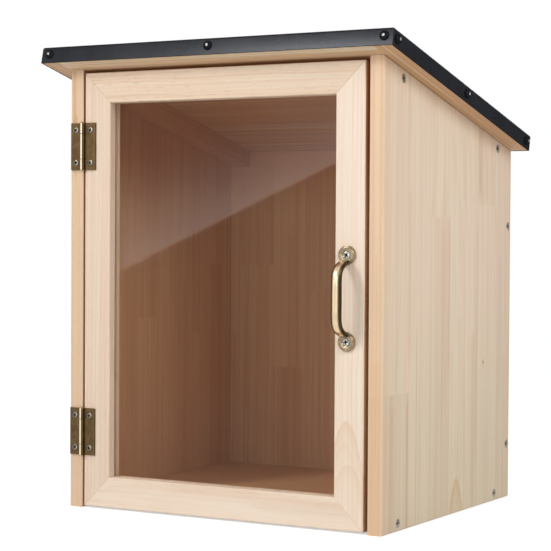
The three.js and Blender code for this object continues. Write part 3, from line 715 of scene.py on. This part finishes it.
def mended(mesh, sharp):
    """Clears the slivers that cuts leave in a mesh, and closes what they open."""
    near = 0.002 * MM
    made = bmesh.new()
    made.from_mesh(mesh)
    bmesh.ops.remove_doubles(made, verts=made.verts, dist=near)
    bmesh.ops.dissolve_degenerate(made, dist=near, edges=made.edges)
    bmesh.ops.holes_fill(made, edges=[edge for edge in made.edges if edge.is_boundary], sides=4)
    bmesh.ops.recalc_face_normals(made, faces=made.faces)
    made.to_mesh(mesh)
    made.free()
    return smooth(mesh, sharp)


def rounded(piece, width):
    """Rounds the sharp edges of a piece."""
    modifier = piece.modifiers.new("rounding", "BEVEL")
    modifier.width = width * MM
    modifier.segments = 2
    modifier.limit_method = "ANGLE"
    modifier.angle_limit = math.radians(30.0)


def dress(node, material):
    """Gives a CAD node its material."""
    piece = nodes[node]
    piece.data.materials.clear()
    piece.data.materials.append(material)
    return piece


# Screws

# From the face of each screw's head to its point
PANEL_REACH, HINGE_REACH, HANDLE_REACH, CATCH_REACH, COVER_REACH = 29.5, 13.2, 13.6, 10.0, 5.8
THREAD_PITCH, THREAD_ROOT = 0.9, 0.74
# Half the width and the reach of a cross recess, as shares of the head's radius
CROSS_ARM = (0.25, 0.84)
PANEL_CROSS_ARM = (0.19, 0.66)
COVER_CROSS_ARM = (0.22, 0.46)
# Reach of the painted highlight in a cover screw's recess
HIGHLIGHT_REACH = 2.2


def cross(head, shares):
    """The outline of a cross recess, its arms tapered."""
    half, arm = shares[0] * head, shares[1] * head
    quarter = [(arm, -half * 0.75), (arm, half * 0.75), (half, half)]
    outline = []
    for turn in range(4):
        a = turn * math.pi / 2
        c, s = math.cos(a), math.sin(a)
        outline += [(x * c - y * s, x * s + y * c) for x, y in quarter]
    return outline


def screw_mesh(name, head, cone, dome, shank, length, tip, arms=CROSS_ARM, depth=0.7):
    """A screw along Z: the head faces +Z, and the plane of the face it sits in is z = 0."""
    top = 0.0 if cone > 0 else SEAT_GAP
    profile = [(0.0, -length), (shank * 0.35, -length + 0.3), (shank, -length + tip)]
    turns = max(3, int((length - tip - max(cone, 1.0)) / THREAD_PITCH))
    start, end = -length + tip, -max(cone, 0.6) - 0.2
    for i in range(turns):
        z = start + (end - start) * (i + 0.5) / turns
        profile += [(shank * THREAD_ROOT, z - 0.28 * (end - start) / turns), (shank, z)]
    profile += [(shank * 0.9, end)]
    if cone > 0:
        profile += [(shank * 0.95, -cone), (head - 0.06, -0.1), (head, 0.0)]
    else:
        profile += [(shank, top), (head - 0.12, top), (head, top + 0.18)]
    arcs = 7
    for i in range(1, arcs + 1):
        a = math.pi / 2 * i / arcs
        profile.append((head * math.cos(a) if i < arcs else 0.0, top + 0.12 + (dome - 0.12) * math.sin(a)))
    recess = extrude(cross(head, arms), top + dome - depth * head, top + dome + 2.0, 0.55)
    return combined(name, lathe(profile, 40), [("DIFFERENCE", recess)], 28.0)


panel_screw = screw_mesh("panel_screw", 3.5, 1.9, 0.2, 1.75, PANEL_REACH, 4.0, PANEL_CROSS_ARM)
hinge_screw = screw_mesh("hinge_screw", 2.5, 1.1, 0.5, 1.25, HINGE_REACH - LEAF_THICKNESS, 2.5)
handle_screw = screw_mesh("handle_screw", 2.8, 1.3, 0.6, 1.5, HANDLE_REACH, 3.0)
catch_screw = screw_mesh("catch_screw", 2.3, 1.1, 0.3, 1.25, CATCH_REACH, 2.5)
strike_screw = screw_mesh("strike_screw", 2.3, 1.1, 0.0, 1.25, CATCH_REACH, 2.5)
cover_screw = screw_mesh("cover_screw", 3.7, 0.0, 2.15, 1.4, COVER_REACH, 1.6, COVER_CROSS_ARM, 0.3)
rear_cover_screw = screw_mesh(
    "rear_cover_screw", 3.5, 0.0, 1.5, 1.4, COVER_REACH, 1.6, COVER_CROSS_ARM, 0.3,
)


def facing(outward, turn):
    """The rotation that takes +Z to the outward direction, turned about it first."""
    return Vector((0, 0, 1)).rotation_difference(outward) @ Quaternion((0, 0, 1), math.radians(turn))


def in_recess(face):
    """Whether a face of a cover screw, still along Z, lies in its cross recess."""
    place = face.center / MM
    out = Vector((place.x, place.y))
    return out.length < HIGHLIGHT_REACH and place.z > -1.0 and face.normal.xy.dot(out) <= 0.01 * out.length


def put_screw(name, mesh, material, body, face, outward, turn, replaces, slot):
    """A screw with its face at a place. The recess of a cover screw gets bright steel, a painted highlight
    given as worn bare metal.
    """
    matrix = Matrix.LocRotScale(Vector(face) * MM, facing(Vector(outward), turn), Vector((1, 1, 1)))
    if slot != "cover_screws":
        add(name, mesh, material, body, replaces, matrix)
        return
    mesh = mesh.copy()
    recess = [polygon.index for polygon in mesh.polygons if in_recess(polygon)]
    mesh.transform(matrix)
    add(name, mesh, material, body, replaces)
    # The recess faces get the painted highlight
    mesh.materials.append(worn_highlight_steel)
    for i in recess:
        mesh.polygons[i].material_index = 1


def turn_of(name):
    """A different turn of the recess for each screw, the same in every run."""
    return sum(ord(letter) * (i + 3) for i, letter in enumerate(name)) * 29 % 90


def screw_for(node, mesh, material, body, outward, depth, slot):
    """A detailed screw in place of a CAD screw. Depth is from the face to the far end of the CAD screw."""
    outward = Vector(outward).normalized()
    low, high = (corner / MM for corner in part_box(node))
    centre = (low + high) / 2
    far = min((v.co / MM).dot(outward) for v in nodes[node].data.vertices)
    face = centre + outward * (far + depth - centre.dot(outward))
    put_screw(node + "_detail", mesh, material, body, face, outward, turn_of(node), (node,), slot)


LEFT, RIGHT, FRONT, BACK = (-1, 0, 0), (1, 0, 0), (0, -1, 0), (0, 1, 0)
for hand, outward in (("left", LEFT), ("right", RIGHT)):
    for place in ("cleat_screw_front", "cleat_screw_rear", "floor_screw_front", "floor_screw_rear",
                  "back_screw_lower", "back_screw_upper"):
        screw_for(f"{hand}_{place}", panel_screw, zinc, "cabinet", outward, PANEL_REACH, "panel_screws")
    for end in ("front", "middle", "rear"):
        node = f"cover_{hand}_screw_{end}"
        screw_for(node, cover_screw, black_screw, "cabinet", outward, COVER_REACH, "cover_screws")
for end in ("left", "middle", "right"):
    node = f"cover_front_screw_{end}"
    screw_for(node, cover_screw, black_screw, "cabinet", -DOWN_SLOPE, COVER_REACH, "cover_screws")
for place in ("upper", "lower"):
    for leaf, body in (("frame", "cabinet"), ("door", "door")):
        for end in ("top", "bottom"):
            node = f"{place}_hinge_{leaf}_screw_{end}"
            screw_for(node, hinge_screw, small_screw_metal, body, FRONT, HINGE_REACH, "small_screws")
for end in ("top", "bottom"):
    node = f"handle_screw_{end}"
    screw_for(node, handle_screw, handle_screw_metal, "door", FRONT, HANDLE_REACH, "small_screws")
    node = f"catch_body_screw_{end}"
    screw_for(node, catch_screw, small_screw_metal, "cabinet", LEFT, CATCH_REACH, "small_screws")
screw_for("catch_plate_screw", strike_screw, small_screw_metal, "door", BACK, CATCH_REACH, "small_screws")

# Boards

for node, material in (("right_side_panel", right_pine), ("left_side_panel", left_pine)):
    rounded(dress(node, material), 0.25)
for node, material in (
    ("back_panel", back_pine), ("floor_panel", floor_pine),
    ("left_roof_cleat", cleat_pine), ("right_roof_cleat", cleat_pine),
):
    dress(node, material)
dress("roof_board", roof_pine)
for member, material in (
    ("left_stile", left_stile_pine), ("right_stile", right_stile_pine),
    ("top_rail", top_rail_pine), ("bottom_rail", bottom_rail_pine),
):
    dress(f"door_{member}", material)
for side, material in bead_pine.items():
    dress(f"glazing_bead_{side}", material)
dress("door_window", pane_clear)

# Roof cover: a folded sheet with rounded bends and a seam at each corner

BEND, BEND_STEPS, BEND_LEAD = 1.9, 6, 0.6
HEM, SEAM = 0.25, 0.09


def cover_mesh():
    """The four folded edges and the top, each a closed shell."""
    outer, inner = [(0.0, COVER_RISE)], [(0.0, COVER_RISE - COVER_THICKNESS)]
    for i in range(BEND_STEPS + 1):
        a = math.pi / 2 * i / BEND_STEPS
        for skin, radius in ((outer, BEND), (inner, BEND - COVER_THICKNESS)):
            skin.append((radius * math.sin(a) + BEND_LEAD, COVER_RISE - BEND + radius * math.cos(a)))
    reach = BEND + BEND_LEAD
    outer += [(reach, HEM), (reach - HEM, 0.0)]
    inner += [(reach - COVER_THICKNESS, HEM), (reach - COVER_THICKNESS + HEM, 0.0)]
    profile = outer + inner[::-1]
    count = len(profile)
    x, front, rear = COVER_HALF - reach, COVER_FRONT + reach, COVER_REAR - reach
    corners = [(-x, front), (x, front), (x, rear), (-x, rear)]
    vertices, faces = [], []
    for side, (out_x, out_y) in enumerate([(0, -1), (1, 0), (0, 1), (-1, 0)]):
        start, end = corners[side], corners[(side + 1) % 4]
        size = math.dist(start, end)
        along = ((end[0] - start[0]) / size, (end[1] - start[1]) / size)
        base = len(vertices)
        for corner, sign in ((start, -1), (end, 1)):
            for out, rise in profile:
                grow = sign * (out - SEAM)
                u = corner[0] + out_x * out + along[0] * grow
                run = corner[1] + out_y * out + along[1] * grow
                vertices.append(tuple(on_slope(u, run, rise)))
        for i in range(count):
            j = (i + 1) % count
            faces.append((base + i, base + j, base + count + j, base + count + i))
        faces.append(tuple(base + i for i in reversed(range(count))))
        faces.append(tuple(base + count + i for i in range(count)))
    base = len(vertices)
    for rise in (COVER_RISE - COVER_THICKNESS, COVER_RISE):
        vertices += [tuple(on_slope(u, run, rise)) for u, run in corners]
    faces.append((base, base + 3, base + 2, base + 1))
    faces.append((base + 4, base + 5, base + 6, base + 7))
    faces += [(base + i, base + (i + 1) % 4, base + 4 + (i + 1) % 4, base + 4 + i) for i in range(4)]
    return new_mesh("folded_roof_cover", vertices, faces, 40.0)


add("folded_roof_cover", cover_mesh(), black_coat, "cabinet", ("roof_cover",))

# Screws of the cover's rear edge
for end, x in (("left", -148.3), ("middle", 0.0), ("right", 148.3)):
    put_screw(
        f"cover_rear_screw_{end}", rear_cover_screw, black_screw, "cabinet",
        on_slope(x, COVER_REAR, 5.3), DOWN_SLOPE, turn_of("rear" + end), (), "cover_screws",
    )

# Hinges

ROUND_FACETS = 32
# Half the height of the middle knuckle, and of the room for it between the others
SPLIT = HINGE_HEIGHT * 0.53 / 2
CLEAR = SPLIT + 0.15
KNUCKLE_EASE, LEAF_EASE, KNUCKLE_ROOM, BORE = 0.2, 0.25, 2.3, 1.3
# Radius and height of the countersunk hole round each screw, its rim in the leaf's front
SCREW_HOLE = [(0, -4), (1.45, -4), (1.45, -1.1), (2.8, 0.05), (2.8, 2), (0, 2)]
# Radius and height of a pin's lower head, from its end
PIN_HEAD = [(0, 0), (0.9, 0.08), (1.45, 0.4), (1.7, 0.9), (1.2, 0.9)]


def hinge_leaf(place, leaf, body, sign, spans):
    """A leaf with its knuckles. Each span is its low end, its high end and whether the leaf fills it."""
    node = f"{place}_hinge_{leaf}_leaf"
    low, high = (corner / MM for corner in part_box(node))
    axis = middle(f"{place}_hinge_pin")
    half, z = (high.z - low.z) / 2, (high.z + low.z) / 2
    back = FRONT_Y - SEAT_GAP
    front = back - LEAF_THICKNESS
    a, b = sorted((axis.x, low.x if sign < 0 else high.x))
    outline = [
        (a, front + LEAF_EASE), (a + LEAF_EASE, front), (b - LEAF_EASE, front), (b, front + LEAF_EASE),
        (b, back), (a, back),
    ]
    others = []
    for start, end, own in spans:
        if not own:
            room = box_shape(
                (axis.x - KNUCKLE_ROOM, back - 6, z + start), (axis.x + KNUCKLE_ROOM, back + 3, z + end))
            others.append(("DIFFERENCE", room))
    for start, end, own in spans:
        if own:
            s, e = max(start, -half), min(end, half)
            inset = KNUCKLE_RADIUS - KNUCKLE_EASE
            profile = [
                (0, s), (inset, s), (KNUCKLE_RADIUS, s + KNUCKLE_EASE),
                (KNUCKLE_RADIUS, e - KNUCKLE_EASE), (inset, e), (0, e),
            ]
            others.append(("UNION", moved(lathe(profile, ROUND_FACETS), axis.x, axis.y, z)))
    bore = lathe([(0, -half - 3), (BORE, -half - 3), (BORE, half + 3), (0, half + 3)], ROUND_FACETS)
    others.append(("DIFFERENCE", moved(bore, axis.x, axis.y, z)))
    for end in ("bottom", "top"):
        screw = middle(f"{place}_hinge_{leaf}_screw_{end}")
        hole = lathe(SCREW_HOLE, ROUND_FACETS)
        others.append(("DIFFERENCE", on_front(hole, screw.x, front, screw.z)))
    base = extrude(outline, z - half, z + half)
    mesh = mended(combined(node + "_detail", base, others, 30.0), 30.0)
    add(node + "_detail", mesh, hinge_brass, body, (node,))


PAST_END = 30.0
FRAME_SPANS = [(-PAST_END, -CLEAR, True), (CLEAR, PAST_END, True), (-CLEAR, CLEAR, False)]
DOOR_SPANS = [(-SPLIT, SPLIT, True), (-PAST_END, -SPLIT, False), (SPLIT, PAST_END, False)]
for place in ("upper", "lower"):
    hinge_leaf(place, "frame", "cabinet", -1, FRAME_SPANS)
    hinge_leaf(place, "door", "door", 1, DOOR_SPANS)
    pin = f"{place}_hinge_pin"
    low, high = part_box(pin)
    half = (high.z - low.z) / (2 * MM)
    profile = [(radius, height - half) for radius, height in PIN_HEAD]
    profile += [(radius, -height) for radius, height in reversed(profile)]
    mesh = new_mesh(pin + "_detail", *moved(lathe(profile, ROUND_FACETS), *middle(pin)))
    add(pin + "_detail", mesh, pin_brass, "cabinet", (pin,))

# Handle: two stepped rosettes and a bow

ROSETTE_RADIUS, BOW_FOOT_SHARE = 7.0, 0.786
BOW_SIDES, BOW_STEPS = 28, 8
# Half of the bow, from its foot to its middle: share of its half height, share of its reach
BOW_LINE = [
    (1, 0), (0.99, 0.22), (0.95, 0.48), (0.87, 0.72), (0.76, 0.89), (0.62, 0.975), (0.42, 1), (0.2, 1),
]
ROSETTE = [
    (1.75, 0), (6.8, 0), (ROSETTE_RADIUS, 0.2), (ROSETTE_RADIUS, 1.35), (6.9, 1.65), (6.6, 1.8),
    (6.3, 1.85), (6.15, 2.0), (6.1, 2.35), (5.9, 2.55), (5.5, 2.6), (3.3, 2.6), (3.05, 2.4), (1.75, 1.0),
]


def curve_through(control, steps):
    """Points on a smooth curve through the control points."""
    padded = [control[0] * 2 - control[1], *control, control[-1] * 2 - control[-2]]
    points = []
    for i in range(1, len(padded) - 2):
        p0, p1, p2, p3 = padded[i - 1 : i + 3]
        for step in range(steps):
            t = step / steps
            points.append(0.5 * (
                p1 * 2 + (p2 - p0) * t + (p0 * 2 - p1 * 5 + p2 * 4 - p3) * t * t
                + (p1 * 3 - p0 - p2 * 3 + p3) * t * t * t
            ))
    return [*points, control[-1]]


def handle_mesh():
    """The bow, swept with an oval section, and the rosettes, each a closed shell."""
    screws = [middle("handle_screw_top"), middle("handle_screw_bottom")]
    x = screws[0].x
    heights = [screw.z for screw in screws]
    z = sum(heights) / 2
    base_y = FRONT_Y - SEAT_GAP
    foot_span = (abs(heights[0] - heights[1]) - 2 * ROSETTE_RADIUS * BOW_FOOT_SHARE) / 2
    foot_y = base_y - 0.8
    reach = foot_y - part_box("door_handle")[0].y / MM - 2.85
    control = [Vector((0, foot_y - out * reach, z + along * foot_span)) for along, out in BOW_LINE]
    control += [Vector((0, p.y, 2 * z - p.z)) for p in reversed(control)]
    points = curve_through(control, BOW_STEPS)
    vertices, faces = [], []
    last = len(points) - 1
    for n, point in enumerate(points):
        tangent = (points[min(n + 1, last)] - points[max(n - 1, 0)]).normalized()
        normal = Vector((1, 0, 0)).cross(tangent)
        crest = math.sin(math.pi * n / last) ** 0.6
        wide, thick = 3.1 + 1.15 * crest, 2.2 + 0.58 * crest
        for i in range(BOW_SIDES):
            a = 2 * math.pi * i / BOW_SIDES
            c, s = math.cos(a), math.sin(a)
            across = wide * math.copysign(abs(c) ** 0.9, c)
            through = thick * math.copysign(abs(s) ** 0.9, s)
            vertices.append(tuple(Vector((x, 0, 0)) + point + Vector((1, 0, 0)) * across + normal * through))
    for n in range(last):
        low, high = n * BOW_SIDES, (n + 1) * BOW_SIDES
        for i in range(BOW_SIDES):
            j = (i + 1) % BOW_SIDES
            faces.append((high + i, high + j, low + j, low + i))
    faces.append(tuple(range(BOW_SIDES)))
    faces.append(tuple(last * BOW_SIDES + i for i in reversed(range(BOW_SIDES))))
    for height in heights:
        ring, more = on_front(lathe(ROSETTE, 56, True), x, base_y, height)
        start = len(vertices)
        vertices += ring
        faces += [tuple(start + i for i in face) for face in more]
    return new_mesh("brass_bow_handle", vertices, faces, 42.0)


add("brass_bow_handle", handle_mesh(), handle_brass, "door", ("door_handle",))

# Magnetic catch and its strike plate

rounded(dress("catch_body", catch_plastic), 0.3)
rounded(dress("catch_plate", bright_steel), 0.2)

# Floor, light and camera


def background_rays(shading, links):
    """1 for rays from the camera, off a shiny surface or through glass, and 0 for the others."""
    rays = shading.new("ShaderNodeLightPath")
    seen = rays.outputs["Is Camera Ray"]
    for kind in ("Is Glossy Ray", "Is Transmission Ray"):
        either = shading.new("ShaderNodeMath")
        either.operation = "MAXIMUM"
        links.new(seen, either.inputs[0])
        links.new(rays.outputs[kind], either.inputs[1])
        seen = either.outputs[0]
    return seen


def stage_material():
    """A pale floor that keeps the shadow and fades to white further out."""
    g = Graph("pale_floor")
    where = g.place()
    x, y, _ = g.split(where)
    fade = g.band(g.distance(x, y), 500.0, 1500.0)
    pale = g.new("BsdfDiffuse", Color=g.mix(g.spots(where, 0.01), (0.75, 0.75, 0.75), (0.77, 0.77, 0.77)))
    seen = background_rays(g.nodes, g.links)
    glow = g.new("Emission", Strength=g.times(seen, 0.54))
    both = g.new("AddShader")
    g.put(both.inputs[0], pale.outputs[0])
    g.put(both.inputs[1], glow.outputs[0])
    white = g.new("Emission", Strength=1.0)
    return g.blend(g.times(fade, seen), both, white)


floor_mesh = bpy.data.meshes.new("studio_floor")
floor_mesh.from_pydata([(-30, -30, 0), (30, -30, 0), (30, 30, 0), (-30, 30, 0)], [], [(0, 1, 2, 3)])
floor_mesh.materials.append(stage_material())
studio_floor = placed("studio_floor", floor_mesh)
studio_floor.location.z = -0.0002

AMBIENT = 0.42
world = bpy.data.worlds.new("studio")
world.use_nodes = True
bpy.context.scene.world = world
tree = world.node_tree
tree.nodes.clear()
level = tree.nodes.new("ShaderNodeMapRange")
level.inputs["To Min"].default_value = AMBIENT
level.inputs["To Max"].default_value = 1.0
tree.links.new(background_rays(tree.nodes, tree.links), level.inputs["Value"])
sky = tree.nodes.new("ShaderNodeBackground")
sky.inputs["Color"].default_value = (1.0, 1.0, 1.0, 1.0)
tree.links.new(level.outputs[0], sky.inputs["Strength"])
tree.links.new(sky.outputs[0], tree.nodes.new("ShaderNodeOutputWorld").inputs["Surface"])


def soft_light(name, azimuth, elevation, distance, width, height, radiance, roll=0.0, fall=0.0):
    """A soft box that looks at the object. Azimuth is to the left of straight ahead of the door.

    With a fall, the light fades over that share of the box's height.
    """
    a, e = math.radians(azimuth), math.radians(elevation)
    out = Vector((-math.sin(a) * math.cos(e), -math.cos(a) * math.cos(e), math.sin(e)))
    data = bpy.data.lights.new(name, "AREA")
    data.shape = "RECTANGLE"
    data.size, data.size_y = width, height
    data.energy = radiance * math.pi * width * height
    if fall:
        data.use_nodes = True
        lit, links = data.node_tree.nodes, data.node_tree.links
        place = lit.new("ShaderNodeSeparateXYZ")
        links.new(lit.new("ShaderNodeNewGeometry").outputs["Parametric"], place.inputs[0])
        falling = lit.new("ShaderNodeMapRange")
        links.new(place.outputs["Y"], falling.inputs["Value"])
        for socket, given in (("From Max", fall), ("To Min", 1.0), ("To Max", 0.2)):
            falling.inputs[socket].default_value = given
        curve = lit.new("ShaderNodeMath")
        curve.operation = "POWER"
        curve.inputs[1].default_value = 2.0
        links.new(falling.outputs[0], curve.inputs[0])
        links.new(curve.outputs[0], lit["Emission"].inputs["Strength"])
    lamp = placed(name, data)
    turn = (-out).to_track_quat("-Z", "Y") @ Quaternion((0, 0, 1), math.radians(roll))
    lamp.matrix_world = Matrix.LocRotScale(LAMPS_LOOK_AT + out * distance, turn, Vector((1, 1, 1)))


LAMPS_LOOK_AT = Vector((0, -0.1, 0.2))
soft_light("front_box", 26.5, 11.4, 1.8, 1.4, 0.42, 3.8, 27.0, 0.4)
soft_light("fill_box", -1.0, 9.0, 1.8, 0.6, 0.6, 1.75)
soft_light("top_box", 27.0, 29.0, 1.8, 0.3, 0.44, 28.0)
soft_light("side_box", -68.0, 31.0, 1.5, 0.9, 0.7, 4.3)
soft_light("rear_box", 180.0, 20.0, 1.8, 0.3, 0.9, 8.5)

CAMERA_PLACE = Vector((713.9, -1276.8, 219.5)) * MM
CAMERA_TURN = (29.8586, -1.3209, 0.3307)
camera_data = bpy.data.cameras.new("camera")
camera_data.sensor_width = 36.0
camera_data.lens = 116.13
camera = placed("camera", camera_data)
yaw, pitch, roll = (math.radians(angle) for angle in CAMERA_TURN)
ahead = Vector((-math.sin(yaw) * math.cos(pitch), math.cos(yaw) * math.cos(pitch), math.sin(pitch)))
right = Vector((math.cos(yaw), math.sin(yaw), 0))
up = right.cross(ahead)
turned_right = right * math.cos(roll) + up * math.sin(roll)
turned_up = up * math.cos(roll) - right * math.sin(roll)
turn = Matrix((turned_right, turned_up, -ahead)).transposed().to_4x4()
camera.matrix_world = Matrix.Translation(CAMERA_PLACE) @ turn
bpy.context.scene.camera = camera
bpy.context.scene.view_settings.view_transform = "Standard"
